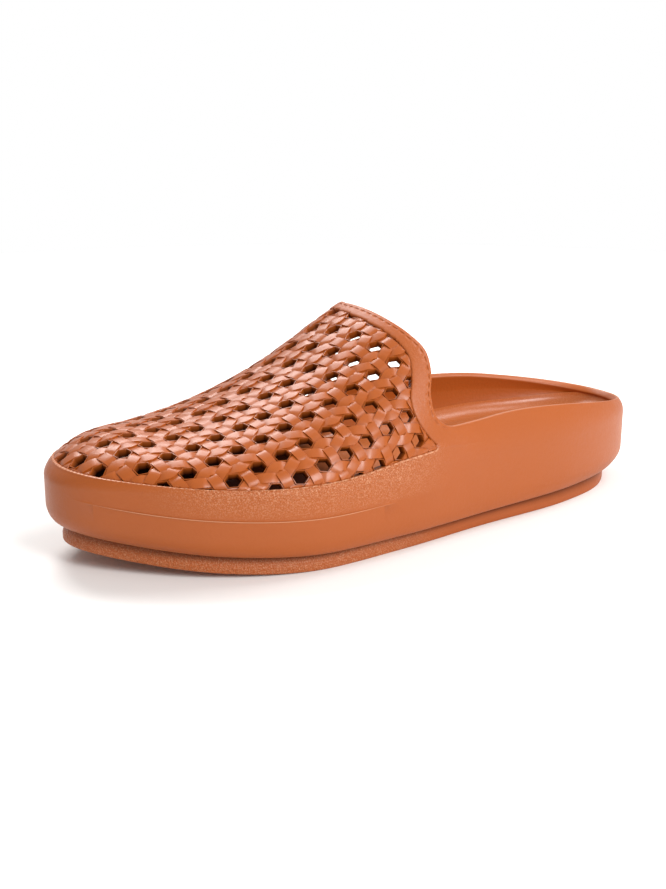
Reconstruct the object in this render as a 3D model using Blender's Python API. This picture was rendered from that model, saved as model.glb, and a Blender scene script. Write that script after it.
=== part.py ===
"""A left slip-on mule, moulded in one colour: a woven-look upper with its rim, an outsole and a footbed.

Lengths are in metres. The toe points to -X, the outer side of the foot to -Y, up is +Z.
"""
import math

import bmesh
import bpy
import numpy as np
from mathutils import Vector
from mathutils.geometry import delaunay_2d_cdt

for old in list(bpy.data.objects):
    bpy.data.objects.remove(old, do_unlink=True)

# Overall sizes
LENGTH = 0.275
BREADTH = 0.104
COLLAR_HEIGHT = 0.090
TOE_SHIFT = 0.008
TOE_SPRING = 0.0089
SPRING_FROM = 0.67
# Heights and walls of the moulding
OUTSOLE_HEIGHT = 0.0070
WALL_BASE = 0.0312
TOE_DROP = 0.0058
RIM_HEIGHT = 0.0480
RIM_LEAN = 0.0028
BORDER_HEIGHT = 0.0362
VAMP_WALL = 0.0040
RIM_WALL = 0.0036
SIDE_WALL = 0.0060
FOOT_WIDTH = 0.0110
FOOT_RISE = 0.0018
BAND_PROUD = 0.0003
# The weave
PITCH_ALONG = 0.0102
PITCH_ACROSS = 0.0116
WEAVE_LEAN = 0.00307
WEAVE_SHRINK = 0.003
WEAVE_BOW = 0.000117
WEAVE_START_X = -0.07425
WEAVE_START_RUN = 0.0425
HOLE_RADIUS = 0.00295
CREST = 0.0002
VALLEY = -0.0009
DIP_SHARE = 0.62
HOLE_RIM = -0.0006
WEAVE_WALL = 0.0038
PLUG_OUT = 0.0070
PLUG_IN = 0.0080
# The outsole and the footbed
OUTSOLE_INSET = 0.0050
OUTSOLE_ROUND = 0.0005
FOOTBED_HEEL = 0.0270
FOOTBED_BALL = 0.0160
FOOTBED_EDGE = 0.0035
FOOTBED_LIP = 0.0004
DISH_WIDTH = 0.0110
GAP = 0.0003

HALF = LENGTH / 2
VAMP_SHAPE = (1.83, 2.13)
PLUG_SHARE = 0.012
STATIONS = 80

# station from heel to toe; half breadths of the outer and the inner side as shares of BREADTH
OUTLINE = (
    (0.00, 0.000, 0.000),
    (0.06, 0.249, 0.223),
    (0.12, 0.323, 0.284),
    (0.20, 0.381, 0.326),
    (0.40, 0.437, 0.343),
    (0.55, 0.496, 0.401),
    (0.70, 0.525, 0.479),
    (0.83, 0.437, 0.447),
    (0.94, 0.255, 0.281),
    (1.00, 0.000, 0.000),
)
# station; height of the ridge as a share of COLLAR_HEIGHT
RIDGE = (
    (0.46, 1.089),
    (0.54, 0.952),
    (0.64, 0.758),
    (0.74, 0.629),
    (0.84, 0.559),
    (0.92, 0.544),
    (1.02, 0.440),
)
# station; how far the ridge lies to the inner side, as a share of BREADTH
RIDGE_OFFSET = (
    (0.40, 0.039),
    (0.60, 0.115),
    (0.80, 0.030),
    (0.93, 0.014),
    (1.00, 0.000),
)
# station; height of the open rim as a share of RIM_HEIGHT
RIM = (
    (0.00, 0.755),
    (0.06, 0.815),
    (0.14, 0.890),
    (0.23, 0.963),
    (0.33, 1.000),
    (0.41, 0.983),
    (0.47, 0.970),
)
# share of the collar from its saddle to its apex; station; turn from the ridge as a share of a right angle
COLLAR = (
    (0.00, 0.469, 0.845),
    (0.10, 0.491, 0.780),
    (0.20, 0.492, 0.690),
    (0.30, 0.481, 0.612),
    (0.42, 0.476, 0.511),
    (0.55, 0.486, 0.400),
    (0.70, 0.499, 0.270),
    (0.85, 0.509, 0.130),
    (1.00, 0.515, 0.000),
)
# height as a share of COLLAR_HEIGHT; station of the weave's edge along the collar
WEAVE_BACK = (
    (0.440, 0.488),
    (0.530, 0.516),
    (0.600, 0.527),
    (0.665, 0.527),
    (0.735, 0.515),
    (0.830, 0.504),
    (0.890, 0.509),
    (0.940, 0.521),
    (0.970, 0.531),
)
# station; height of the weave's lower edge above the ground side as a share of BORDER_HEIGHT
BORDER = (
    (0.48, 1.113),
    (0.52, 1.090),
    (0.56, 1.070),
    (0.62, 1.020),
    (0.70, 0.985),
    (0.80, 0.955),
    (0.90, 0.935),
    (1.00, 0.890),
)
# station; insets of the outsole's edge and of the side wall's bottom as shares of OUTSOLE_INSET
OUTSOLE_EDGE = (
    (0.00, 1.75, 1.55),
    (0.05, 1.45, 1.30),
    (0.10, 1.00, 0.90),
    (0.20, 0.82, 0.58),
    (0.40, 0.86, 0.24),
    (0.60, 0.94, 0.46),
    (0.80, 0.96, 0.76),
    (0.90, 1.15, 1.05),
    (0.96, 1.22, 1.18),
    (1.00, 1.10, 1.15),
)
# rounding under the side wall: share of its inset at the bottom; height over the foot as a share of WALL_BASE
SIDE = (
    (1.000, 0.000),
    (0.520, 0.030),
    (0.300, 0.072),
    (0.115, 0.130),
    (0.010, 0.235),
)
# station; height of the footbed between FOOTBED_BALL (0) and FOOTBED_HEEL (1)
FOOTBED = (
    (0.00, 1.10),
    (0.10, 0.90),
    (0.25, 0.85),
    (0.45, 0.62),
    (0.62, 0.05),
    (0.75, -0.05),
    (1.00, 0.35),
)


def curve(table, at, column=1):
    """Smooth curve through a table's rows, with the slope at a row taken from its neighbours."""
    rows = np.array(table)
    x, y = rows[:, 0], rows[:, column]
    step = np.diff(x)
    rise = np.diff(y) / step
    slope = np.empty_like(y)
    slope[1:-1] = (rise[:-1] * step[1:] + rise[1:] * step[:-1]) / (step[:-1] + step[1:])
    slope[0] = 2 * rise[0] - slope[1]
    slope[-1] = 2 * rise[-1] - slope[-2]
    at = np.clip(at, x[0], x[-1])
    i = np.clip(np.searchsorted(x, at, side="right") - 1, 0, len(step) - 1)
    t = (at - x[i]) / step[i]
    return ((2 * t**3 - 3 * t**2 + 1) * y[i] + (t**3 - 2 * t**2 + t) * step[i] * slope[i]
            + (3 * t**2 - 2 * t**3) * y[i + 1] + (t**3 - t**2) * step[i] * slope[i + 1])


def half_breadth(s, column):
    """Half breadth at station s. The stations are turned into angles, so that both ends come out round."""
    turned = [(math.acos(1 - 2 * row[0]), row[column]) for row in OUTLINE]
    return BREADTH * curve(turned, np.arccos(np.clip(1 - 2 * s, -1, 1)))


def spring(s):
    """Height of the ground side above the floor at station s."""
    return TOE_SPRING * np.clip((s - SPRING_FROM) / (1 - SPRING_FROM), 0, 1) ** 1.8


def centre(s):
    """The middle of the shoe bends to the inner side towards the toe."""
    return TOE_SHIFT * np.clip((s - 0.35) / 0.65, 0, 1) ** 2


def wall_base(s):
    """Height above the ground side where the side wall ends: lower round the toe, which rolls over."""
    return WALL_BASE - TOE_DROP * np.clip((s - 0.8) / 0.2, 0, 1) ** 2


def vamp(s, turn):
    """Point of the upper's outside at station s. turn is -1 at the outer side, 0 on the ridge, 1 at the inner side."""
    n, m = VAMP_SHAPE
    q = np.sin(turn * math.pi / 2)
    ridge = centre(s) + BREADTH * curve(RIDGE_OFFSET, s)
    outer = ridge - (centre(s) - half_breadth(s, 1))
    inner = centre(s) + half_breadth(s, 2) - ridge
    y = ridge + q * np.where(q < 0, outer, inner)
    base = wall_base(s) + spring(s)
    round_toe = np.sqrt(np.clip(1 - np.clip((s - 0.90) / 0.10, 0, 1) ** 3, 0, 1))
    rise = np.maximum(COLLAR_HEIGHT * curve(RIDGE, s) - base, 0) * round_toe
    z = base + rise * np.clip(1 - np.abs(q) ** n, 0, 1) ** (1 / m)
    return np.stack(np.broadcast_arrays(HALF - LENGTH * s, y, z), -1)


def outline_loop(count):
    """Stations round the shoe from the heel along the outer side, closer at both ends, with side and inward normal."""
    fine = (1 - np.cos(np.linspace(0, math.pi, 1601))) / 2
    s = np.concatenate([fine, fine[-2:0:-1]])
    side = np.concatenate([np.full(1601, -1.0), np.full(1599, 1.0)])
    y = centre(s) + side * np.where(side < 0, half_breadth(s, 1), half_breadth(s, 2))
    x = HALF - LENGTH * s
    close = 1 + 1.3 * np.clip((s - 0.84) / 0.12, 0, 1) + 0.7 * np.clip((0.12 - s) / 0.1, 0, 1)
    run = np.hypot(np.diff(x, append=x[0]), np.diff(y, append=y[0])) * close
    run = np.concatenate([[0], np.cumsum(run)])
    goal = (np.arange(count) + 0.5) / count * run[-1]
    pick = np.searchsorted(run, goal) - 1
    tangent = np.stack([np.roll(x, -6) - np.roll(x, 6), np.roll(y, -6) - np.roll(y, 6)], -1)
    tangent /= np.linalg.norm(tangent, axis=1)[:, None]
    inward = np.stack([-tangent[:, 1], tangent[:, 0]], -1)
    if inward[0, 0] > 0:
        inward = -inward
    return s[pick], side[pick], np.stack([x, y], -1)[pick], inward[pick], run[pick] / run[-1]


S, SIDE_SIGN, EDGE, INWARD, RUN = outline_loop(STATIONS)


def beside(inset, height, s=S, edge=EDGE, inward=INWARD):
    """Loop of points a given inset from the outline at a given height above the ground side."""
    plan = edge + inward * np.broadcast_to(inset, s.shape)[:, None]
    return np.column_stack([plan, height + spring(s)])


def collar_share():
    """Share along the collar, from saddle to apex, that each station of the outline runs up to."""
    start = np.interp(0.44, S[SIDE_SIGN < 0], RUN[SIDE_SIGN < 0])
    tip = RUN[np.argmax(S)]
    share = (RUN - start) / (tip - start)
    far = SIDE_SIGN > 0
    start = np.interp(-0.44, -S[far], RUN[far])
    share[far] = (start - RUN[far]) / (start - tip)
    return np.clip(share, 0, 1)


SHARE = collar_share()


def wall(t):
    """Outside of the moulding above its side: t runs from 0 there to 1 at the rim or the collar's edge."""
    t = np.broadcast_to(t, S.shape)
    top = RIM_HEIGHT * curve(RIM, S)
    rear = beside(RIM_LEAN * t**2, wall_base(S))
    rear[:, 2] += t * (top - rear[:, 2])
    edge = vamp(curve(COLLAR, SHARE, 1), SIDE_SIGN * curve(COLLAR, SHARE, 2))[:, :2]
    plan = EDGE + (edge - EDGE) * (t**2)[:, None]
    at = (HALF - plan[:, 0]) / LENGTH
    ridge = centre(at) + BREADTH * curve(RIDGE_OFFSET, at)
    off = plan[:, 1] - ridge
    reach = np.where(off < 0, ridge - centre(at) + half_breadth(at, 1), centre(at) + half_breadth(at, 2) - ridge)
    front = vamp(at, np.arcsin(np.clip(off / np.maximum(reach, 1e-6), -1, 1)) * 2 / math.pi)
    mix = np.clip((S - 0.40) / 0.07, 0, 1)
    mix = (mix * mix * (3 - 2 * mix))[:, None]
    return rear * (1 - mix) + front * mix


def in_weave(points, margin):
    """True where a point of the vamp lies inside the weave's edge, widened by margin."""
    s = (HALF - points[..., 0]) / LENGTH
    low = BORDER_HEIGHT * curve(BORDER, s) + spring(s)
    behind = HALF - LENGTH * curve(WEAVE_BACK, points[..., 2] / COLLAR_HEIGHT)
    return (points[..., 2] > low - margin) & (points[..., 0] < behind + margin)


def weave_edges():
    """Shares t between which each station crosses the weave; equal where it doesn't."""
    steps = np.linspace(0, 1, 401)
    inside = in_weave(np.array([wall(t) for t in steps]), 0)
    start = np.where(inside.any(0), steps[inside.argmax(0)], 0)
    last = np.where(inside.any(0), steps[400 - inside[::-1].argmax(0)], 0)
    return start, last


WEAVE_START, WEAVE_END = weave_edges()
WOVEN = WEAVE_END - WEAVE_START > 0.06


def normals(t):
    """Outward unit normals of the wall at share t."""
    up = wall(np.minimum(t + 0.01, 1)) - wall(np.maximum(t - 0.01, 0))
    here = wall(t)
    along = np.roll(here, -1, 0) - np.roll(here, 1, 0)
    n = np.cross(up, along)
    upright = np.broadcast_to(t, S.shape) < 0.02
    n[upright] = np.column_stack([-INWARD, np.zeros(len(S))])[upright]
    n /= np.linalg.norm(n, axis=1)[:, None]
    out = (n * np.column_stack([-INWARD, np.full(len(S), 0.3)])).sum(1)
    return n * np.sign(out)[:, None]


def new_object(name, points, faces, colour):
    mesh = bpy.data.meshes.new(name)
    mesh.from_pydata([tuple(p) for p in points], [], [tuple(f) for f in faces])
    mesh.validate()
    item = bpy.data.objects.new(name, mesh)
    bpy.context.collection.objects.link(item)
    if colour:
        material = bpy.data.materials.new(name + " foam")
        material.use_nodes = True
        shader = material.node_tree.nodes["Principled BSDF"]
        shader.inputs["Base Color"].default_value = (*colour, 1)
        shader.inputs["Roughness"].default_value = 0.45
        mesh.materials.append(material)
    return item


def triangles(faces):
    """Splits four-sided faces in two."""
    out = []
    for f in faces:
        out.append((f[0], f[1], f[2]))
        if len(f) == 4:
            out.append((f[0], f[2], f[3]))
    return out


def outward(item):
    """Turns a closed body's faces outward."""
    body = bmesh.new()
    body.from_mesh(item.data)
    bmesh.ops.recalc_face_normals(body, faces=body.faces)
    if body.calc_volume(signed=True) < 0:
        bmesh.ops.reverse_faces(body, faces=body.faces)
    body.to_mesh(item.data)
    body.free()
    return item


def combine(item, other, how):
    """Joins or crosses two bodies and keeps the first."""
    modifier = item.modifiers.new(how, "BOOLEAN")
    modifier.operation = how
    modifier.solver = "EXACT"
    modifier.object = other
    depsgraph = bpy.context.evaluated_depsgraph_get()
    mesh = bpy.data.meshes.new_from_object(item.evaluated_get(depsgraph))
    item.modifiers.clear()
    item.data = mesh
    bpy.data.objects.remove(other, do_unlink=True)
    return item


# The frame of the upper: side wall, rim and collar band, with a window where the weave goes

def frame_rows():
    """Closed profile at every station, from the foot's inner edge up the outside and down the inside."""
    foot = OUTSOLE_HEIGHT + GAP
    bottom = OUTSOLE_INSET * curve(OUTSOLE_EDGE, S, 2)
    rows = [beside(FOOT_WIDTH, foot)]
    for inset, height in SIDE:
        rows.append(beside(inset * bottom, foot + height * WALL_BASE))
    shares = [
        np.zeros(len(S)),
        np.where(WOVEN, 0.5 * WEAVE_START, 0.25),
        np.where(WOVEN, WEAVE_START, 0.5),
        np.where(WOVEN, WEAVE_END, 0.75),
        np.where(WOVEN, 0.5 * (1 + WEAVE_END), 0.9),
        np.ones(len(S)),
    ]
    front = np.clip((S - 0.40) / 0.07, 0, 1)
    proud = [0, 0.5, 1, 1, 1, 0.6]
    outside = []
    inside = []
    for number, (t, share) in enumerate(zip(shares, proud)):
        n = normals(t)
        point = wall(t)
        thick = RIM_WALL + (VAMP_WALL - RIM_WALL) * front
        low = np.clip(1 - 2 * t, 0, 1)
        thick = thick + (SIDE_WALL - thick) * low * 0.5
        outside.append(point + n * (BAND_PROUD * share * front)[:, None])
        if number not in (1, 4):
            inside.append(point - n * thick[:, None])
    rows += outside
    top = (outside[-1] + inside[-1]) / 2
    rise = outside[-1] - outside[-2]
    rise /= np.linalg.norm(rise, axis=1)[:, None]
    rows.append(top + rise * 0.35 * RIM_WALL)
    rows += inside[::-1]
    rows.append(beside(SIDE_WALL, WALL_BASE * 0.72))
    rows.append(beside(SIDE_WALL + 0.4 * (FOOT_WIDTH - SIDE_WALL), WALL_BASE * 0.42))
    rows.append(beside(FOOT_WIDTH, foot + FOOT_RISE))
    return rows


def build_frame():
    rows = frame_rows()
    count = len(S)
    points = np.concatenate(rows)
    first_out = 1 + len(SIDE)
    open_out = first_out + 2
    open_in = first_out + 6 + 1 + 1
    faces = []
    cut = [k for k in range(count) if WOVEN[k] and WOVEN[(k + 1) % count]]
    for r in range(len(rows)):
        nxt = (r + 1) % len(rows)
        for k in range(count):
            if r in (open_out, open_in) and k in cut:
                continue
            k2 = (k + 1) % count
            faces.append((r * count + k, r * count + k2, nxt * count + k2, nxt * count + k))
    first, last = cut[0], cut[-1] + 1
    for k in cut:
        faces.append((open_out * count + k, open_out * count + k + 1,
                      (open_in + 1) * count + k + 1, (open_in + 1) * count + k))
        faces.append(((open_out + 1) * count + k + 1, (open_out + 1) * count + k,
                      open_in * count + k, open_in * count + k + 1))
    faces.append((open_out * count + first, (open_in + 1) * count + first,
                  open_in * count + first, (open_out + 1) * count + first))
    faces.append(((open_out + 1) * count + last, open_in * count + last,
                  (open_in + 1) * count + last, open_out * count + last))
    return outward(new_object("upper", points, triangles(faces), (0.62, 0.20, 0.07)))


# The woven panel. A knot (a, b) of the weave lies a cells along the shoe and b rows down the outer side

COLUMNS = range(-7, 13)
LANES = range(-13, 4)


def weave_point(a, b):
    """Outside of the vamp at a knot: rows are spaced by their run over each cross-section."""
    a, b = np.asarray(a, float), np.asarray(b, float)
    x = WEAVE_START_X + PITCH_ALONG * a * (1 - WEAVE_SHRINK * a) + WEAVE_LEAN * b
    run = WEAVE_BOW * a * (3.9 - a) - PITCH_ACROSS * b - WEAVE_START_RUN
    s = np.clip((HALF - x) / LENGTH, 0.44, 0.985)
    turns = np.linspace(-1, 1, 241)
    section = vamp(s[:, None], turns[None, :])
    steps = np.hypot(np.diff(section[..., 1], axis=1), np.diff(section[..., 2], axis=1))
    walk = np.concatenate([np.zeros((len(s), 1)), np.cumsum(steps, axis=1)], axis=1)
    middle = np.array([np.interp(0, row[:, 1], w) for row, w in zip(section, walk)])
    goal = run + middle
    turn = np.array([np.interp(g, w, turns) for g, w in zip(goal, walk)])
    point = vamp(s, turn)
    point[:, 0] = x
    point[:, 2] -= np.maximum(-goal, 0) + np.maximum(goal - walk[:, -1], 0)
    return point


def hexagon(i, j):
    """Corners of a hole in knots: the weave's flat plan has regular hexagons."""
    angles = np.radians(60 * np.arange(6))
    along = HOLE_RADIUS / PITCH_ALONG * np.cos(angles - math.radians(30))
    across = HOLE_RADIUS / PITCH_ACROSS * np.cos(angles + math.radians(60))
    return np.stack([i + along, j + across], -1)


def crossings(i, j):
    """The three places of a cell where strips cross: a lift follows each pair of knots."""
    flip = 0.25 if i % 2 else -0.25
    return [(i, j + 0.5), (i + 0.5, j + flip), (i + 0.5, j - flip)]


def strip_dips(i, j):
    """Where a strip dives under the next one: six places in a cell, each with its knots."""
    sign = 1 if i % 2 == 0 else -1
    lane = (i + 0.5, j - 0.25 * sign)
    bent = (i + 0.5, j + 0.25 * sign)
    gap = (i, j + 0.5)
    out = []
    # the straight strip lies on top at lane and runs to bent and past it
    for end in (bent, (i + 0.5, j - 0.75 * sign)):
        out.append((lane, end))
    # the second strip lies on top at the gap and dives under the straight ones
    for end in ((i + 0.5, j + (0.75 if sign > 0 else 0.25)), (i - 0.5, j + (0.25 if sign > 0 else 0.75))):
        out.append((gap, end))
    # the third strip lies on top at bent and dives under the second at the gaps
    for end in ((i, j + 0.5 * sign), (i + 1, j + 0.5 * sign)):
        out.append((bent, end))
    return out


def knot_key(a, b):
    return round(a * 1000), round(b * 1000)


def in_hole(knot, cells):
    """True inside a hole's hexagon."""
    i, j = math.floor(knot[0] + 0.5), math.floor(knot[1] + 0.5)
    if (i, j) not in cells:
        return False
    along, across = (knot[0] - i) * PITCH_ALONG, (knot[1] - j) * PITCH_ACROSS
    x = along * math.cos(math.radians(30)) + across * math.cos(math.radians(-60))
    y = along * math.sin(math.radians(30)) + across * math.sin(math.radians(-60))
    reach = max(abs(x * math.cos(w) + y * math.sin(w)) for w in np.radians([30, 90, 150]))
    return reach < HOLE_RADIUS * math.cos(math.radians(30))


def triangulate(knots, edges, keep):
    """Triangles over the given knots that respect the edges, where keep says yes at their middle."""
    scale = np.array([PITCH_ALONG, PITCH_ACROSS]) * 100
    points = [Vector(np.array(p) * scale) for p in knots]
    verts, _, faces, origin, _, _ = delaunay_2d_cdt(points, edges, [], 0, 1e-7)
    out = []
    for face in faces:
        middle = sum((verts[k] for k in face), Vector((0, 0))) / len(face)
        if keep(middle.x / scale[0], middle.y / scale[1]):
            out.append([origin[k][0] for k in face])
    return out


def build_panel():
    """Woven panel: one wall with its crossings raised and a hole at every knot, wider than the window."""
    whole = [(i, j) for i in COLUMNS[1:-1] for j in LANES[1:-1]]
    corners = weave_point(*np.concatenate([hexagon(i, j) for i, j in whole]).T)
    touched = in_weave(corners, 0.0).reshape(-1, 6).any(1)
    cells = {c for c, hit in zip(whole, touched) if hit}
    around = np.array([(a, b) for a in np.linspace(-0.5, 0.5, 5) for b in np.linspace(-0.5, 0.5, 5)])
    boxes = weave_point(*np.concatenate([around + c for c in whole]).T)
    touched = in_weave(boxes, 0.0015).reshape(-1, 25).any(1)
    wide = {c for c, hit in zip(whole, touched) if hit} | cells
    lifts = {}
    rings = []
    for i, j in sorted(wide):
        for a, b in crossings(i, j):
            lifts[knot_key(a, b)] = (a, b, CREST)
        for top, under in strip_dips(i, j):
            a = top[0] + DIP_SHARE * (under[0] - top[0])
            b = top[1] + DIP_SHARE * (under[1] - top[1])
            lifts[knot_key(a, b)] = (a, b, VALLEY)
        for a in (i - 0.5, i + 0.5):
            for b in (j - 0.5, j + 0.5):
                lifts[knot_key(a, b)] = (a, b, 0.0)
        if (i, j) in cells:
            ring = [knot_key(a, b) for a, b in hexagon(i, j)]
            rings.append(ring)
            lifts.update({k: (a, b, HOLE_RIM) for k, (a, b) in zip(ring, hexagon(i, j))})
    inside = lambda a, b: (math.floor(a + 0.5), math.floor(b + 0.5)) in wide
    tiny = 0.02
    kept = {k: v for k, v in lifts.items() if any(
        inside(v[0] + da, v[1] + db) for da in (-tiny, tiny) for db in (-tiny, tiny))}
    sides = []
    for i, j in wide:
        for di, dj in ((1, 0), (0, 1), (-1, 0), (0, -1)):
            if (i + di, j + dj) in wide:
                continue
            across = (-dj, di)
            on_side = [k for k, v in kept.items()
                       if abs((v[0] - i) * di + (v[1] - j) * dj - 0.5) < 1e-6
                       and abs((v[0] - i) * across[0] + (v[1] - j) * across[1]) < 0.5 + 1e-6]
            on_side.sort(key=lambda k: (kept[k][0] - i) * across[0] + (kept[k][1] - j) * across[1])
            sides += list(zip(on_side, on_side[1:]))
    on_border = {k for pair in sides for k in pair}
    in_ring = {k for ring in rings for k in ring}
    names = sorted(on_border | in_ring) + sorted(set(kept) - on_border - in_ring)
    place = {k: n for n, k in enumerate(names)}
    shared = len(on_border | in_ring)
    knots = [kept[k][:2] for k in names]
    edges = [(place[a], place[b]) for a, b in sides]
    for ring in rings:
        edges += [(place[a], place[b]) for a, b in zip(ring, ring[1:] + ring[:1])]
    keep = lambda a, b: inside(a, b) and not in_hole((a, b), cells)
    outer_faces = triangulate(knots, edges, keep)
    inner_faces = triangulate(knots[:shared], edges, keep)
    flat = np.array(knots)
    middle = weave_point(flat[:, 0], flat[:, 1])
    step = 0.05
    along = weave_point(flat[:, 0] + step, flat[:, 1]) - weave_point(flat[:, 0] - step, flat[:, 1])
    across = weave_point(flat[:, 0], flat[:, 1] + step) - weave_point(flat[:, 0], flat[:, 1] - step)
    n = np.cross(across, along)
    n /= np.linalg.norm(n, axis=1)[:, None]
    outer = middle + n * np.array([kept[k][2] for k in names])[:, None]
    inner = (middle - n * WEAVE_WALL)[:shared]
    count = len(outer)
    faces = [tuple(f) for f in outer_faces]
    faces += [tuple(count + k for k in reversed(f)) for f in inner_faces]
    for a, b in [(place[a], place[b]) for a, b in sides]:
        faces += [(b, a, count + a), (b, count + a, count + b)]
    for ring in rings:
        for a, b in zip(ring, ring[1:] + ring[:1]):
            a, b = place[a], place[b]
            faces += [(a, b, count + b), (a, count + b, count + a)]
    return new_object("panel", np.concatenate([outer, inner]), faces, None), len(cells)


def window_plug(widen):
    """Solid that fills the window in the frame, widened by a share of each station's path and of a step."""
    pick = np.flatnonzero(WOVEN)
    start = np.clip(WEAVE_START - widen, 0, 1)
    end = np.clip(WEAVE_END + widen, 0, 0.99)
    start[[pick[0] - 1, pick[-1] + 1]] = start[[pick[0], pick[-1]]]
    end[[pick[0] - 1, pick[-1] + 1]] = end[[pick[0], pick[-1]]]
    loops = []
    for share in (0, 0.04, 0.12, 0.25, 0.4, 0.55, 0.7, 0.85, 0.95, 1):
        t = start + share * (end - start)
        n = normals(t)
        for reach in (PLUG_OUT, -PLUG_IN):
            loop = wall(t) + n * reach
            before = 0.6 * loop[pick[0]] + 0.4 * loop[pick[0] - 1]
            after = 0.6 * loop[pick[-1]] + 0.4 * loop[pick[-1] + 1]
            loops.append(np.concatenate([[before], loop[pick], [after]]))
    outer, inner = loops[::2], loops[1::2]
    width = len(pick) + 2
    points = np.concatenate(outer + inner)
    layer = width * len(outer)
    faces = []
    for r in range(len(outer) - 1):
        for k in range(width - 1):
            a = r * width + k
            faces.append((a, a + 1, a + width + 1, a + width))
            faces.append((layer + a + width, layer + a + width + 1, layer + a + 1, layer + a))
    rim = list(range(width)) + [r * width + width - 1 for r in range(1, len(outer))]
    rim += [(len(outer) - 1) * width + k for k in range(width - 2, -1, -1)]
    rim += [r * width for r in range(len(outer) - 2, 0, -1)]
    for a, b in zip(rim, rim[1:] + rim[:1]):
        faces.append((b, a, layer + a, layer + b))
    return outward(new_object("plug", points, triangles(faces), None))


upper = build_frame()
panel, hole_count = build_panel()
outward(panel)
panel = combine(panel, window_plug(PLUG_SHARE), "INTERSECT")
upper = combine(upper, panel, "UNION")


# The outsole: a slab set in under the side wall

def ring_body(name, loops, colour):
    """Closed body through loops from its underside to its top, closed by a middle line at each end."""
    count = len(S)
    points = np.concatenate(loops)
    faces = []
    for r in range(len(loops) - 1):
        for k in range(count):
            k2 = (k + 1) % count
            faces.append((r * count + k, r * count + k2, (r + 1) * count + k2, (r + 1) * count + k))
    for base in (0, (len(loops) - 1) * count):
        for k in range(count // 2 - 1):
            a, b = base + k, base + k + 1
            c, d = base + count - 1 - k - 1, base + count - 1 - k
            faces.append((d, c, b, a) if base == 0 else (a, b, c, d))
    return outward(new_object(name, points, triangles(faces), colour))


def build_outsole():
    edge = OUTSOLE_INSET * curve(OUTSOLE_EDGE, S)
    low = [beside(edge + OUTSOLE_ROUND, 0), beside(edge, OUTSOLE_ROUND)]
    high = [beside(edge, OUTSOLE_HEIGHT - OUTSOLE_ROUND), beside(edge + OUTSOLE_ROUND, OUTSOLE_HEIGHT)]
    return ring_body("outsole", low + high, (0.60, 0.19, 0.065))


outsole = build_outsole()


# The footbed: fills the bottom of the shell inside the side wall, dished for the foot

def build_footbed():
    floor = OUTSOLE_HEIGHT + GAP
    top = FOOTBED_BALL + (FOOTBED_HEEL - FOOTBED_BALL) * curve(FOOTBED, S)
    side_low = SIDE_WALL + 0.4 * (FOOT_WIDTH - SIDE_WALL)
    loops = [
        beside(FOOT_WIDTH + GAP, floor),
        beside(FOOT_WIDTH + GAP, floor + FOOT_RISE),
        beside(side_low + GAP, WALL_BASE * 0.42),
    ]
    share = (top - WALL_BASE * 0.42) / (WALL_BASE * 0.30)
    inset_top = side_low + (SIDE_WALL - side_low) * np.clip(share, 0, 1) + 1.5 * GAP
    loops.append(beside(inset_top, top))
    loops.append(beside(inset_top + 0.2 * DISH_WIDTH, top + FOOTBED_LIP))
    loops.append(beside(inset_top + 0.55 * DISH_WIDTH, top - 0.5 * FOOTBED_EDGE))
    loops.append(beside(inset_top + DISH_WIDTH, top - 0.8 * FOOTBED_EDGE))
    return ring_body("insole", loops, (0.63, 0.21, 0.075))


insole = build_footbed()
print("holes", hole_count)
for item in (upper, outsole, insole):
    item.data.calc_loop_triangles()
    print(item.name, len(item.data.loop_triangles))
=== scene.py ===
"""A left slip-on mule, moulded in one colour of soft foam with a woven-look vamp. Lengths are in metres."""
import math

import bmesh
import bpy
import numpy as np
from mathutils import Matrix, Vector


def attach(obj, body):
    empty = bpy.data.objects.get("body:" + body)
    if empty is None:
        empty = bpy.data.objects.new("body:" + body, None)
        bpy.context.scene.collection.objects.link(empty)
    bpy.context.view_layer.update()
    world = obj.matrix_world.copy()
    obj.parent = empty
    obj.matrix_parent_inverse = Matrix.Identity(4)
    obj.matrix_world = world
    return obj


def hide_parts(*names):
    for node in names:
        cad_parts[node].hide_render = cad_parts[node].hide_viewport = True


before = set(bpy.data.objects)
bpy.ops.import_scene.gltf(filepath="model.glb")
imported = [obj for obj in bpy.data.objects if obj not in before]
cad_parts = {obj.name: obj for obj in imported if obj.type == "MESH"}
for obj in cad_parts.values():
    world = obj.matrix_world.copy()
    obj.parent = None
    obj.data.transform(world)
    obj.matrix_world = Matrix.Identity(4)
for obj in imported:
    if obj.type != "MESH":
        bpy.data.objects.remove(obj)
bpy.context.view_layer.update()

# The upper's form. The real one is a single shot of foam round a last: a thick side wall, an open rim
# at the heel and a domed vamp. These values and functions repeat the ones that the solids are made from.

LENGTH = 0.275
BREADTH = 0.104
COLLAR_HEIGHT = 0.090
TOE_SHIFT = 0.008
TOE_SPRING = 0.0089
SPRING_FROM = 0.67
OUTSOLE_HEIGHT = 0.0070
WALL_BASE = 0.0312
TOE_DROP = 0.0058
RIM_HEIGHT = 0.0480
RIM_LEAN = 0.0028
BORDER_HEIGHT = 0.0362
VAMP_WALL = 0.0040
RIM_WALL = 0.0036
SIDE_WALL = 0.0060
FOOT_WIDTH = 0.0110
FOOT_RISE = 0.0018
BAND_PROUD = 0.0004
OUTSOLE_INSET = 0.0050
GAP = 0.0003
HALF = LENGTH / 2
VAMP_SHAPE = (1.83, 2.13)

# station from heel to toe; half breadths of the outer and the inner side as shares of BREADTH
OUTLINE = (
    (0.00, 0.000, 0.000),
    (0.06, 0.249, 0.223),
    (0.12, 0.323, 0.284),
    (0.20, 0.381, 0.326),
    (0.40, 0.437, 0.343),
    (0.55, 0.496, 0.401),
    (0.70, 0.525, 0.479),
    (0.83, 0.437, 0.447),
    (0.94, 0.255, 0.281),
    (1.00, 0.000, 0.000),
)
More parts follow.
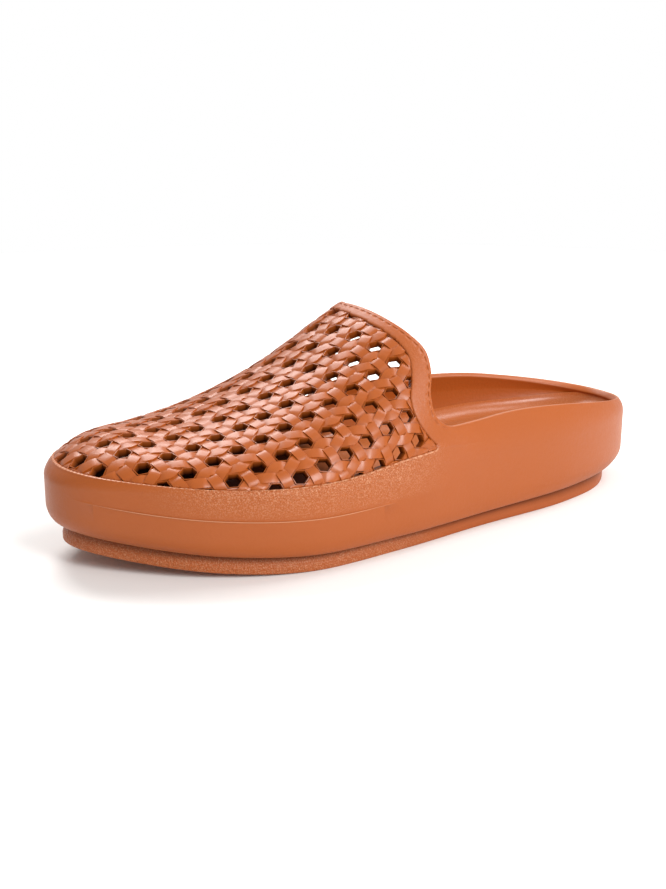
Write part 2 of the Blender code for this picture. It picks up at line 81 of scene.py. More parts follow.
# station; height of the ridge as a share of COLLAR_HEIGHT
RIDGE = (
    (0.46, 1.089),
    (0.54, 0.952),
    (0.64, 0.758),
    (0.74, 0.629),
    (0.84, 0.559),
    (0.92, 0.544),
    (1.02, 0.440),
)
# station; how far the ridge lies to the inner side, as a share of BREADTH
RIDGE_OFFSET = (
    (0.40, 0.039),
    (0.60, 0.115),
    (0.80, 0.030),
    (0.93, 0.014),
    (1.00, 0.000),
)
# station; height of the open rim as a share of RIM_HEIGHT
RIM = (
    (0.00, 0.755),
    (0.06, 0.815),
    (0.14, 0.890),
    (0.23, 0.963),
    (0.33, 1.000),
    (0.41, 0.983),
    (0.47, 0.970),
)
# share of the collar from its saddle to its apex; station; turn from the ridge as a share of a right angle
COLLAR = (
    (0.00, 0.469, 0.845),
    (0.10, 0.491, 0.780),
    (0.20, 0.492, 0.690),
    (0.30, 0.481, 0.612),
    (0.42, 0.476, 0.511),
    (0.55, 0.486, 0.400),
    (0.70, 0.499, 0.270),
    (0.85, 0.509, 0.130),
    (1.00, 0.515, 0.000),
)
# height as a share of COLLAR_HEIGHT; station of the weave's edge along the collar
WEAVE_BACK = (
    (0.440, 0.488),
    (0.530, 0.516),
    (0.600, 0.527),
    (0.665, 0.527),
    (0.735, 0.515),
    (0.830, 0.504),
    (0.890, 0.509),
    (0.940, 0.521),
    (0.970, 0.531),
)
# station; height of the weave's lower edge above the ground side as a share of BORDER_HEIGHT
BORDER = (
    (0.48, 1.113),
    (0.52, 1.090),
    (0.56, 1.070),
    (0.62, 1.020),
    (0.70, 0.985),
    (0.80, 0.955),
    (0.90, 0.935),
    (1.00, 0.890),
)
# station; insets of the outsole's edge and of the side wall's bottom as shares of OUTSOLE_INSET
OUTSOLE_EDGE = (
    (0.00, 1.75, 1.55),
    (0.05, 1.45, 1.30),
    (0.10, 1.00, 0.90),
    (0.20, 0.82, 0.58),
    (0.40, 0.86, 0.24),
    (0.60, 0.94, 0.46),
    (0.80, 0.96, 0.76),
    (0.90, 1.15, 1.05),
    (0.96, 1.22, 1.18),
    (1.00, 1.10, 1.15),
)


def curve(table, at, column=1):
    """Smooth curve through a table's rows, with the slope at a row taken from its neighbours."""
    rows = np.array(table)
    x, y = rows[:, 0], rows[:, column]
    step = np.diff(x)
    rise = np.diff(y) / step
    slope = np.empty_like(y)
    slope[1:-1] = (rise[:-1] * step[1:] + rise[1:] * step[:-1]) / (step[:-1] + step[1:])
    slope[0] = 2 * rise[0] - slope[1]
    slope[-1] = 2 * rise[-1] - slope[-2]
    at = np.clip(at, x[0], x[-1])
    i = np.clip(np.searchsorted(x, at, side="right") - 1, 0, len(step) - 1)
    t = (at - x[i]) / step[i]
    return ((2 * t**3 - 3 * t**2 + 1) * y[i] + (t**3 - 2 * t**2 + t) * step[i] * slope[i]
            + (3 * t**2 - 2 * t**3) * y[i + 1] + (t**3 - t**2) * step[i] * slope[i + 1])


def ease(x):
    """0 below 0, 1 above 1, and a smooth turn between."""
    x = np.clip(x, 0, 1)
    return x * x * (3 - 2 * x)


def half_breadth(s, column):
    """Half breadth at station s. The stations are turned into angles, so that both ends come out round."""
    turned = [(math.acos(1 - 2 * row[0]), row[column]) for row in OUTLINE]
    return BREADTH * curve(turned, np.arccos(np.clip(1 - 2 * s, -1, 1)))


def spring(s):
    """Height of the ground side above the floor at station s."""
    return TOE_SPRING * np.clip((s - SPRING_FROM) / (1 - SPRING_FROM), 0, 1) ** 1.8


def centre(s):
    """The middle of the shoe bends to the inner side towards the toe."""
    return TOE_SHIFT * np.clip((s - 0.35) / 0.65, 0, 1) ** 2


def wall_base(s):
    """Height above the ground side where the side wall ends: lower round the toe, which rolls over."""
    return WALL_BASE - TOE_DROP * np.clip((s - 0.8) / 0.2, 0, 1) ** 2


def vamp(s, turn):
    """Outside of the vamp, from the wall's base over the ridge: z = base + rise (1 - |q|^n)^(1/m).

    q is the sine of a right angle times turn, which is -1 at the outer side, 0 on the ridge and 1 at the
    inner side.
    """
    n, m = VAMP_SHAPE
    q = np.sin(turn * math.pi / 2)
    ridge = centre(s) + BREADTH * curve(RIDGE_OFFSET, s)
    outer = ridge - (centre(s) - half_breadth(s, 1))
    inner = centre(s) + half_breadth(s, 2) - ridge
    y = ridge + q * np.where(q < 0, outer, inner)
    base = wall_base(s) + spring(s)
    round_toe = np.sqrt(np.clip(1 - np.clip((s - 0.90) / 0.10, 0, 1) ** 3, 0, 1))
    rise = np.maximum(COLLAR_HEIGHT * curve(RIDGE, s) - base, 0) * round_toe
    z = base + rise * np.clip(1 - np.abs(q) ** n, 0, 1) ** (1 / m)
    return np.stack(np.broadcast_arrays(HALF - LENGTH * s, y, z), -1)


def outline_loop(count):
    """Stations round the shoe, from the heel along the outer side and closer at both ends.

    Returns each one's station, side, point of the outline, inward normal and share of the way round.
    """
    fine = (1 - np.cos(np.linspace(0, math.pi, 4001))) / 2
    s = np.concatenate([fine, fine[-2::-1]])
    side = np.concatenate([np.full(4001, -1.0), np.full(4000, 1.0)])
    y = centre(s) + side * np.where(side < 0, half_breadth(s, 1), half_breadth(s, 2))
    close = 1 + 1.3 * np.clip((s - 0.84) / 0.12, 0, 1) + 0.7 * np.clip((0.12 - s) / 0.1, 0, 1)
    step = np.hypot(np.diff(HALF - LENGTH * s), np.diff(y)) * (close[1:] + close[:-1]) / 2
    run = np.concatenate([[0], np.cumsum(step)])
    goal = (np.arange(count) + 0.5) / count * run[-1]
    at = np.interp(goal, run, s)
    sign = np.where(goal < run[4000], -1.0, 1.0)
    edge = np.stack([HALF - LENGTH * at,
                     centre(at) + sign * np.where(sign < 0, half_breadth(at, 1), half_breadth(at, 2))], -1)
    tangent = np.roll(edge, -1, 0) - np.roll(edge, 1, 0)
    tangent /= np.linalg.norm(tangent, axis=1)[:, None]
    inward = np.stack([-tangent[:, 1], tangent[:, 0]], -1)
    if inward[0, 0] > 0:
        inward = -inward
    return at, sign, edge, inward, goal / run[-1]


STATIONS = 640
S, SIDE_SIGN, EDGE, INWARD, RUN = outline_loop(STATIONS)


def beside(inset, height):
    """Loop of points a given inset from the outline at a given height above the ground side."""
    plan = EDGE + INWARD * np.broadcast_to(inset, S.shape)[:, None]
    return np.column_stack([plan, height + spring(S)])


def collar_share():
    """Share along the collar, from saddle to apex, that each station of the outline runs up to."""
    near, far = SIDE_SIGN < 0, SIDE_SIGN > 0
    tip = RUN[np.argmax(S)]
    near_start = np.interp(0.44, S[near], RUN[near])
    far_start = np.interp(-0.44, -S[far], RUN[far])
    return np.clip(np.where(near, (RUN - near_start) / (tip - near_start),
                            (far_start - RUN) / (far_start - tip)), 0, 1)


SHARE = collar_share()
FRONT = ease((S - 0.40) / 0.07)


def wall(t):
    """Outside of the moulding above its side: t runs from 0 there to 1 at the rim or the collar's edge."""
    t = np.broadcast_to(t, S.shape)
    top = RIM_HEIGHT * curve(RIM, S)
    rear = beside(RIM_LEAN * t**2, wall_base(S))
    rear[:, 2] += t * (top - rear[:, 2])
    edge = vamp(curve(COLLAR, SHARE, 1), SIDE_SIGN * curve(COLLAR, SHARE, 2))[:, :2]
    plan = EDGE + (edge - EDGE) * (t**2)[:, None]
    at = (HALF - plan[:, 0]) / LENGTH
    ridge = centre(at) + BREADTH * curve(RIDGE_OFFSET, at)
    off = plan[:, 1] - ridge
    reach = np.where(off < 0, ridge - centre(at) + half_breadth(at, 1),
                     centre(at) + half_breadth(at, 2) - ridge)
    front = vamp(at, np.arcsin(np.clip(off / np.maximum(reach, 1e-6), -1, 1)) * 2 / math.pi)
    return rear * (1 - FRONT[:, None]) + front * FRONT[:, None]


def weave_margin(points):
    """How far a point of the vamp lies inside the weave's edge, negative outside it."""
    s = (HALF - points[..., 0]) / LENGTH
    low = BORDER_HEIGHT * curve(BORDER, s) + spring(s)
    behind = HALF - LENGTH * curve(WEAVE_BACK, points[..., 2] / COLLAR_HEIGHT)
    return np.minimum(points[..., 2] - low, behind - points[..., 0])


def weave_edges():
    """Shares t between which each station crosses the weave; equal where it doesn't."""
    steps = np.linspace(0, 1, 601)
    inside = weave_margin(np.array([wall(t) for t in steps])) > 0
    start = np.where(inside.any(0), steps[inside.argmax(0)], 0)
    last = np.where(inside.any(0), steps[600 - inside[::-1].argmax(0)], 0)
    return start, last


WEAVE_START, WEAVE_END = weave_edges()
WOVEN = WEAVE_END - WEAVE_START > 0.06


def normals(t):
    """Outward unit normals of the wall at share t."""
    up = wall(np.minimum(t + 0.01, 1)) - wall(np.maximum(t - 0.01, 0))
    here = wall(t)
    along = np.roll(here, -1, 0) - np.roll(here, 1, 0)
    n = np.cross(up, along)
    upright = np.broadcast_to(t, S.shape) < 0.02
    n[upright] = np.column_stack([-INWARD, np.zeros(len(S))])[upright]
    n /= np.linalg.norm(n, axis=1)[:, None]
    out = (n * np.column_stack([-INWARD, np.full(len(S), 0.3)])).sum(1)
    return n * np.sign(out)[:, None]


# The foam that every piece is moulded from: dense and of one colour, with a closed skin that takes the
# gloss and the fine leather grain of its mould. The helpers for materials and meshes come with it.

CLOUD_SIZE = 0.040
SKIN_SIZE = 0.0016
SKIN_SHARE = 0.3
GRAIN_SIZE = 0.00080
GRAIN_DEPTH = 0.00040
# size and colour of the painted glints on the grain; then the colour and the small gloss of painted shade
GLINT_SIZE = 0.00046
PAINTED_GLINT_COLOUR = "#C48A66"
PAINTED_SHADE_COLOUR = "#34140A"
SHEEN = 0.42
PAINTED_SHADE_SHEEN = 0.05
GLOSS_SPREAD = 0.04
FOAM_IOR = 1.47


def linear(code):
    """The linear colour, with alpha, of an sRGB hex code."""
    parts = [int(code[k:k + 2], 16) / 255 for k in (1, 3, 5)]
    return (*(c / 12.92 if c <= 0.04045 else ((c + 0.055) / 1.055) ** 2.4 for c in parts), 1)


def add_node(tree, kind, links=None, **settings):
    """Adds a node with its settings and input values, and links its inputs from other nodes' outputs."""
    node = tree.nodes.new(kind)
    for name, value in settings.items():
        if hasattr(node, name):
            setattr(node, name, value)
        else:
            node.inputs[name.replace("_", " ")].default_value = value
    for name, source in (links or {}).items():
        tree.links.new(source, node.inputs[name])
    return node


def mixed(tree, share, first, code):
    """Output of a colour between a first one and that of a hex code."""
    node = add_node(tree, "ShaderNodeMix", {0: share, 6: first}, data_type="RGBA")
    node.inputs[7].default_value = linear(code)
    return node.outputs[2]


def foam(name, code, roughness, grain, shade):
    """Moulded foam in the colour of a hex code, which drifts by the share shade.

    The grain, of the depth grain, has pebbles of about 0.8 mm and painted glints where the mesh's attribute
    grain says so. A second attribute paints a highlight along marked edges, and the attribute deep paints
    shade, dark and with little gloss, where it says so.
    """
    material = bpy.data.materials.new(name)
    material.use_nodes = True
    tree = material.node_tree
    shader = tree.nodes["Principled BSDF"]
    shader.inputs["IOR"].default_value = FOAM_IOR
    place = add_node(tree, "ShaderNodeTexCoord").outputs["Object"]
    grain_and_glints, flash, deep = (add_node(tree, "ShaderNodeAttribute", attribute_name=label).outputs["Fac"]
                            for label in ("grain", "flash", "deep"))
    # the colour drifts in soft clouds; painted glints and painted highlights lighten it, and painted shade
    # darkens it deep inside and takes away its gloss
    cloud = add_node(tree, "ShaderNodeTexNoise", {"Vector": place},
                     Scale=1 / CLOUD_SIZE, Detail=3.0, Roughness=0.5)
    tone = add_node(tree, "ShaderNodeMapRange", {"Value": cloud.outputs["Fac"]},
                    From_Min=0.3, From_Max=0.7, To_Min=1 - shade, To_Max=1 + shade)
    paint = add_node(tree, "ShaderNodeHueSaturation", {"Value": tone.outputs["Result"]}, Color=linear(code))
    glint_noise = add_node(tree, "ShaderNodeTexNoise", {"Vector": place},
                     Scale=1 / GLINT_SIZE, Detail=1.0, Roughness=0.5)
    glint = add_node(tree, "ShaderNodeMapRange", {"Value": glint_noise.outputs["Fac"]},
                     From_Min=0.46, From_Max=0.74, To_Min=0.0, To_Max=1.0)
    pale = add_node(tree, "ShaderNodeMath", {0: glint.outputs["Result"], 1: grain_and_glints}, operation="MULTIPLY")
    light = add_node(tree, "ShaderNodeMath", {0: pale.outputs[0], 1: flash}, operation="ADD", use_clamp=True)
    with_painted_highlights = mixed(tree, light.outputs[0], paint.outputs["Color"], PAINTED_GLINT_COLOUR)
    tree.links.new(mixed(tree, deep, with_painted_highlights, PAINTED_SHADE_COLOUR), shader.inputs["Base Color"])
    sheen = add_node(tree, "ShaderNodeMapRange", {"Value": deep}, To_Min=SHEEN, To_Max=PAINTED_SHADE_SHEEN)
    tree.links.new(sheen.outputs["Result"], shader.inputs["Specular IOR Level"])
    # the skin is faintly uneven everywhere and pebbled where it is grained
    pebble = add_node(tree, "ShaderNodeTexVoronoi", {"Vector": place}, Scale=1 / GRAIN_SIZE)
    skin = add_node(tree, "ShaderNodeTexNoise", {"Vector": place},
                    Scale=1 / SKIN_SIZE, Detail=4.0, Roughness=0.6)
    height = add_node(tree, "ShaderNodeMath", {0: pebble.outputs["Distance"], 1: grain_and_glints},
                      operation="MULTIPLY")
    both = add_node(tree, "ShaderNodeMath", {0: skin.outputs["Fac"], 2: height.outputs[0]},
                    operation="MULTIPLY_ADD")
    both.inputs[1].default_value = SKIN_SHARE
    bump = add_node(tree, "ShaderNodeBump", {"Height": both.outputs[0]},
                    Strength=grain, Distance=GRAIN_DEPTH)
    tree.links.new(bump.outputs["Normal"], shader.inputs["Normal"])
    gloss = add_node(tree, "ShaderNodeMapRange", {"Value": skin.outputs["Fac"]}, From_Min=0.3, From_Max=0.7,
                     To_Min=roughness - GLOSS_SPREAD, To_Max=roughness + GLOSS_SPREAD)
    tree.links.new(gloss.outputs["Result"], shader.inputs["Roughness"])
    return material


def make_piece(name, points, faces, sharp=None, **values):
    """Mesh object from points and faces, shaded smooth, with point attributes of the given names."""
    mesh = bpy.data.meshes.new(name)
    mesh.from_pydata(points.tolist(), [], faces.tolist() if hasattr(faces, "tolist") else faces)
    mesh.validate()
    for label, value in values.items():
        layer = mesh.attributes.new(label, "FLOAT", "POINT")
        layer.data.foreach_set("value", np.asarray(value, np.float32))
    mesh.shade_smooth()
    if sharp:
        mesh.set_sharp_from_angle(angle=math.radians(sharp))
    piece = bpy.data.objects.new(name, mesh)
    bpy.context.collection.objects.link(piece)
    return piece


def outward(piece):
    """Turns a closed body's faces outward."""
    body = bmesh.new()
    body.from_mesh(piece.data)
    bmesh.ops.recalc_face_normals(body, faces=body.faces)
    if body.calc_volume(signed=True) < 0:
        bmesh.ops.reverse_faces(body, faces=body.faces)
    body.to_mesh(piece.data)
    body.free()
    return piece


# The shell: side wall, heel rim, lower border and collar band, moulded in one with the rest. The photo
# shows a fine grain above a thin parting line and round the collar, and a dashed groove like a stitch.

BELLY_ROWS = 16
BELLY_HEIGHT = 0.0078
PARTING_HEIGHT = 0.0225
PARTING_PROUD = 0.00034
PARTING_HIGHLIGHT = 0.75
BAND_ROWS = 9
BORDER_ROUND = 0.0006
LIP_ROWS = 9
LIP_RISE = 0.45
LIP_SQUARE = 0.6
LIP_HIGHLIGHT = 0.35
STITCH_INSET = 0.0022
STITCH_LENGTH = 0.0026
STITCH_GAP = 0.0011
STITCH_WIDTH = 0.00045
STITCH_DEPTH = 0.00030
STITCH_FADE = 0.0003
DASH_PITCH = 0.0019
DASH_SHARE = 0.65
DASH_FADE = 0.15
DASH_HIGHLIGHT = 0.75
COLLAR_CALM = 0.86
SIDE_LOW = SIDE_WALL + 0.4 * (FOOT_WIDTH - SIDE_WALL)
FOAM_COLOUR = "#9C4C15"
# height over the parting line; share of PARTING_PROUD; share of the painted highlight along it
PARTING_ROWS = ((-0.00022, 0.0, 0.0), (-0.00016, 1.0, 0.8), (0.00012, 1.0, 1.0), (0.00018, 0.0, 0.0))
# distance from the window's edge in BORDER_ROUND; share of it by which the row is lower
BORDER_PROFILE = ((2.0, 0.0), (0.9, 0.12), (0.3, 0.4), (0.0, 1.0))
# distance from the groove's middle in STITCH_WIDTH; share of STITCH_DEPTH
GROOVE_PROFILE = ((-1.0, 0), (-0.5, 0.7), (0, 1), (0.5, 0.7), (1.0, 0))
# inset and height, as a share of WALL_BASE, of the side wall's inside
INNER_ROWS = ((SIDE_WALL, 0.72), (SIDE_WALL, 0.58), (SIDE_LOW, 0.42))


def path_length(t0, t1, steps=12):
    """Length of each station's path between two shares."""
    marks = np.array([wall(t0 + (t1 - t0) * k / steps) for k in range(steps + 1)])
    return np.linalg.norm(np.diff(marks, axis=0), axis=2).sum(0)


def loop_steps(t):
    """Length of the step from each station to the next one round the shoe, at share t."""
    line = wall(t)
    return np.linalg.norm(np.roll(line, -1, 0) - line, axis=1)


def stitches():
    """1 along each dash of the groove inside the collar's edge, 0 between them and along the rim."""
    phase = np.mod(np.cumsum(loop_steps(1.0) * FRONT), STITCH_LENGTH + STITCH_GAP)
    return ease(phase / STITCH_FADE) * ease((STITCH_LENGTH - phase) / STITCH_FADE) * ease((S - 0.455) / 0.03)


def highlight_dashes(start):
    """1 along each dash of the painted highlight under the weave, 0 between them."""
    tick = np.mod(np.cumsum(loop_steps(np.clip(start, 0, 1))), DASH_PITCH) / DASH_PITCH
    return ease(tick / DASH_FADE) * ease((DASH_SHARE - tick) / DASH_FADE) * WOVEN


def outer_rows(start, end):
    """Shares of the rows from the wall's base to the lip, and their heights over the plain wall.

    Rows crowd at the window's edges, start and end, and at the stitched groove.
    """
    full = np.ones(len(S))
    long_low = path_length(0 * S, start)
    long_high = path_length(end, full)
    rows = [(start * k / BAND_ROWS, BAND_PROUD * (k / BAND_ROWS)) for k in range(BAND_ROWS)]
    for reach, drop in BORDER_PROFILE:
        rows.append((start - np.minimum(reach * BORDER_ROUND / long_low, 0.1) * start,
                     BAND_PROUD - drop * BORDER_ROUND * WOVEN))
    for reach, drop in BORDER_PROFILE[::-1]:
        rows.append((end + np.minimum(reach * BORDER_ROUND / long_high, 0.3) * (1 - end),
                     BAND_PROUD - drop * BORDER_ROUND * WOVEN))
    begin = rows[-1][0]
    stitch = 1 - np.clip(STITCH_INSET / long_high, 0, 1) * (1 - end)
    side = np.clip(STITCH_WIDTH / long_high, 0, 1) * (1 - end)
    rows += [(begin + (stitch - 1.2 * side - begin) * k / 4, BAND_PROUD) for k in range(1, 4)]
    dash = stitches()
    rows += [(stitch + offset * side, BAND_PROUD - STITCH_DEPTH * depth * dash)
             for offset, depth in GROOVE_PROFILE]
    lip = (RIM_WALL + (VAMP_WALL - RIM_WALL) * FRONT) / 2 * LIP_RISE
    last = np.full(len(S), 0.9)
    top = 1 - lip * (1 - last) / path_length(last, full)
    rows += [(stitch + side + (top - stitch - side) * k / 3, BAND_PROUD * (1 - 0.4 * k / 3))
             for k in range(1, 4)]
    return rows


def shell_rows():
    """Closed profile at every station: up the outside from the foot, over the lip and down the inside.

    Each row holds its points, grain, painted highlight and painted shade. Returns the rows and the numbers
    of the rows below the window on the outside and on the inside.
    """
    none = np.zeros(len(S))
    foot = OUTSOLE_HEIGHT + GAP
    base = wall_base(S)
    bottom = OUTSOLE_INSET * curve(OUTSOLE_EDGE, S, 2)
    rows = [(beside(FOOT_WIDTH, foot), none, none, none)]
    for angle in np.radians(90 * np.arange(BELLY_ROWS) / (BELLY_ROWS - 1)):
        place = beside(bottom * (1 - math.sin(angle)), foot + BELLY_HEIGHT * (1 - math.cos(angle)))
        rows.append((place, none, none, none))
    seam = ease((S - 0.56) / 0.10) * ease((0.99 - S) / 0.08)
    fine = ease((S - 0.45) / 0.13) * ease((0.93 - S) / 0.12)
    # the parting line at the front: a low ridge with a painted highlight along it
    for rise, proud, pale in PARTING_ROWS:
        place = beside(-PARTING_PROUD * proud * seam, PARTING_HEIGHT + rise)
        rows.append((place, none, pale * seam * PARTING_HIGHLIGHT, none))
    for share in (0.25, 0.5, 0.75, 0.95):
        place = beside(0, PARTING_HEIGHT + share * (base - PARTING_HEIGHT))
        rows.append((place, fine * (0.25 + 0.45 * share), none, none))
    # the outside from the wall's base to the lip, with the inside at the wall's thickness from it
    start = np.where(WOVEN, WEAVE_START, 0.5)
    end = np.where(WOVEN, WEAVE_END, 0.6)
    # painted shade inside the front half, where the vamp keeps the light out
    inner_painted_shade = ease((S - 0.52) / 0.14)
    dash_highlight = highlight_dashes(start)
    first = len(rows)
    inside = []
    for number, (t, proud) in enumerate(outer_rows(start, end)):
        point, n = wall(t), normals(t)
        thick = RIM_WALL + (VAMP_WALL - RIM_WALL) * FRONT
        thick = thick + (SIDE_WALL - thick) * np.clip(1 - 2 * t, 0, 1) * 0.5
        strong = 0.7 + 0.3 * np.clip(t / np.maximum(start, 1e-3), 0, 1)
        # outside: grain, and painted highlight dashes on two rows at the window's lower edge; inside:
        # painted shade, which fades out towards the lip
        rows.append((point + n * (proud * FRONT)[:, None],
                     fine * strong * (1 - COLLAR_CALM * ease((t - start) / 0.1)),
                     DASH_HIGHLIGHT * dash_highlight * (number in (BAND_ROWS + 1, BAND_ROWS + 2)), none))
        inside.append((point - n * thick[:, None], none, none, inner_painted_shade * (1 - ease((t - 0.72) / 0.22))))
    below = BAND_ROWS + len(BORDER_PROFILE) - 1
    # the lip: half a rounded bar between the last outer and inner points
    middle = (rows[-1][0] + inside[-1][0]) / 2
    across = (rows[-1][0] - inside[-1][0]) / 2
    rise = rows[-1][0] - rows[-3][0]
    rise /= np.linalg.norm(rise, axis=1)[:, None]
    height = np.linalg.norm(across, axis=1)[:, None] * LIP_RISE
    for k in range(1, LIP_ROWS):
        angle = math.pi * k / LIP_ROWS
        flat = np.sign(math.cos(angle)) * abs(math.cos(angle)) ** LIP_SQUARE
        place = middle + across * flat + rise * height * math.sin(angle) ** LIP_SQUARE
        # a painted highlight along the lip's outer shoulder, and grain at the front
        rows.append((place, 0.3 * FRONT, LIP_HIGHLIGHT * (k in (2, 3)) * np.ones(len(S)), none))
    rows += inside[::-1]
    last_gap = len(rows) - 1 - below
    # painted shade on the inside down to the foot, under the vamp
    rows += [(beside(inset, WALL_BASE * share), none, none, inner_painted_shade) for inset, share in INNER_ROWS]
    rows.append((beside(FOOT_WIDTH, foot + FOOT_RISE), none, none, inner_painted_shade))
    return rows, first + below, last_gap


def build_shell():
    """Faces round all rows, with a window framed between the outside and the inside where the weave goes."""
    rows, open_out, close_in = shell_rows()
    open_in = close_in - 1
    count, total = STATIONS, len(rows)
    r, k = np.meshgrid(np.arange(total), np.arange(count), indexing="ij")
    k2, r2 = (k + 1) % count, (r + 1) % total
    faces = np.stack([r * count + k, r * count + k2, r2 * count + k2, r2 * count + k], -1)
    window = WOVEN[k] & WOVEN[k2] & ((r == open_out) | (r == open_in))
    cut = np.flatnonzero(WOVEN & np.roll(WOVEN, -1))
    lower = np.stack([open_out * count + cut, open_out * count + cut + 1,
                      close_in * count + cut + 1, close_in * count + cut], -1)
    upper = np.stack([(open_out + 1) * count + cut + 1, (open_out + 1) * count + cut,
                      open_in * count + cut, open_in * count + cut + 1], -1)
    first, last = cut[0], cut[-1] + 1
    ends = np.array([[open_out * count + first, close_in * count + first,
                      open_in * count + first, (open_out + 1) * count + first],
                     [(open_out + 1) * count + last, open_in * count + last,
                      close_in * count + last, open_out * count + last]])
    points, grain, flash, deep = (np.concatenate(part) for part in zip(*rows))
    faces = np.concatenate([faces[~window], lower, upper, ends])
    return outward(make_piece("upper_shell", points, faces, 50, grain=grain, flash=flash, deep=deep))


shell = build_shell()
# satin: the wide wall shows soft, broad highlights, and the grain carries painted glints
shell.data.materials.append(foam("satin_moulded_foam", FOAM_COLOUR, 0.44, 0.9, 0.02))
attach(shell, "root")
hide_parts("upper")


# The woven vamp: a wall with a hexagonal hole at every knot, and on it three families of flat strips
# that pass over and under each other. In the real mule all of it is one moulding, as glossy as its mould.

PITCH_ALONG = 0.0102
PITCH_ACROSS = 0.0116
WEAVE_LEAN = 0.00307
WEAVE_SHRINK = 0.003
WEAVE_BOW = 0.000117
BOW_REACH = 3.9
WEAVE_START_X = -0.07425
WEAVE_START_RUN = 0.0425
WEAVE_WALL = 0.0035
HOLE_RADIUS = 0.00295
COLUMNS = range(-6, 12)
LANES = range(-12, 3)
STRIP_WIDTH = 0.0040
STRIP_STEP = 0.00036
STRIP_CROWN = 0.00004
STRIP_EDGE = 0.00010
STRIP_FLATNESS = 2.3
STRIP_DEPTH = 0.0024
STRIP_POINTS = 0.00095
GROUND_DEPTH = 0.0014
BEAD_HEIGHT = -0.0002
WEAVE_LEVEL = -0.0003
TUCK = 0.0013
PLUG_OUT = 0.005
PLUG_IN = 0.007
PLUG_WIDEN = 0.012
# distance outside the hole; height over the vamp; share of the painted shade on it
RINGS = (
    (0.0, -WEAVE_WALL, 1.0),
    (0.0, BEAD_HEIGHT - 0.00025, 0.25),
    (0.00012, BEAD_HEIGHT, 0.0),
    (0.0003, BEAD_HEIGHT, 0.0),
    (0.00038, -GROUND_DEPTH, 0.0),
)


def chart_tables():
    """For each station, the turn at every run over the cross-section, counted from the middle plane."""
    stations = np.linspace(0.44, 0.985, 320)
    turns = np.linspace(-1, 1, 801)
    section = vamp(stations[:, None], turns[None, :])
    steps = np.hypot(np.diff(section[..., 1], axis=1), np.diff(section[..., 2], axis=1))
    walk = np.concatenate([np.zeros((len(stations), 1)), np.cumsum(steps, axis=1)], axis=1)
    middle = np.array([np.interp(0, row[:, 1], w) for row, w in zip(section, walk)])
    runs = np.linspace(-0.12, 0.12, 961)
    turn = np.array([np.interp(runs + m, w, turns) for m, w in zip(middle, walk)])
    return stations, runs, turn, middle, walk[:, -1]


CHART = chart_tables()


def chart(a, b):
    """Outside of the vamp at a knot (a, b), with its normal.

    a counts holes along the shoe and b rows down the side: x = x0 + pitch a (1 - shrink a) + lean b, and
    the run over the cross-section is bow a (reach - a) - pitch b - run0.
    """
    stations, runs, table, middle, total = CHART
    x = WEAVE_START_X + PITCH_ALONG * a * (1 - WEAVE_SHRINK * a) + WEAVE_LEAN * b
    run = WEAVE_BOW * a * (BOW_REACH - a) - PITCH_ACROSS * b - WEAVE_START_RUN
    s = np.clip((HALF - x) / LENGTH, stations[0], stations[-1])
    u = (s - stations[0]) / (stations[1] - stations[0])
    v = np.clip((run - runs[0]) / (runs[1] - runs[0]), 0, len(runs) - 1.001)
    i = np.clip(u.astype(int), 0, len(stations) - 2)
    j = v.astype(int)
    u, v = u - i, v - j
    turn = ((table[i, j] * (1 - u) + table[i + 1, j] * u) * (1 - v)
            + (table[i, j + 1] * (1 - u) + table[i + 1, j + 1] * u) * v)
    goal = run + middle[i] * (1 - u) + middle[i + 1] * u
    length = total[i] * (1 - u) + total[i + 1] * u
    point = vamp(s, turn)
    over = vamp(s, np.minimum(turn + 0.004, 1)) - vamp(s, np.maximum(turn - 0.004, -1))
    back = vamp(s - 0.002, turn) - vamp(s + 0.002, turn)
    n = np.cross(back, over)
    n /= np.linalg.norm(n, axis=-1)[..., None]
    point[..., 0] = x
    point[..., 2] -= np.maximum(-goal, 0) + np.maximum(goal - length, 0)
    return point, n


def raised(a, b, height):
    """Point of the weave at a height over the vamp: tucked in where it passes under the border."""
    point, n = chart(a, b)
    tuck = TUCK * ease((0.0002 - weave_margin(point)) / 0.0012)
    return point + n * (height - tuck)[..., None]


def around(k):
    """Second coordinate of a walk in 24 steps round the unit square, from the middle of its right side."""
    return np.clip((6 - np.abs((k + 6) % 24 - 12)) / 6, -0.5, 0.5)


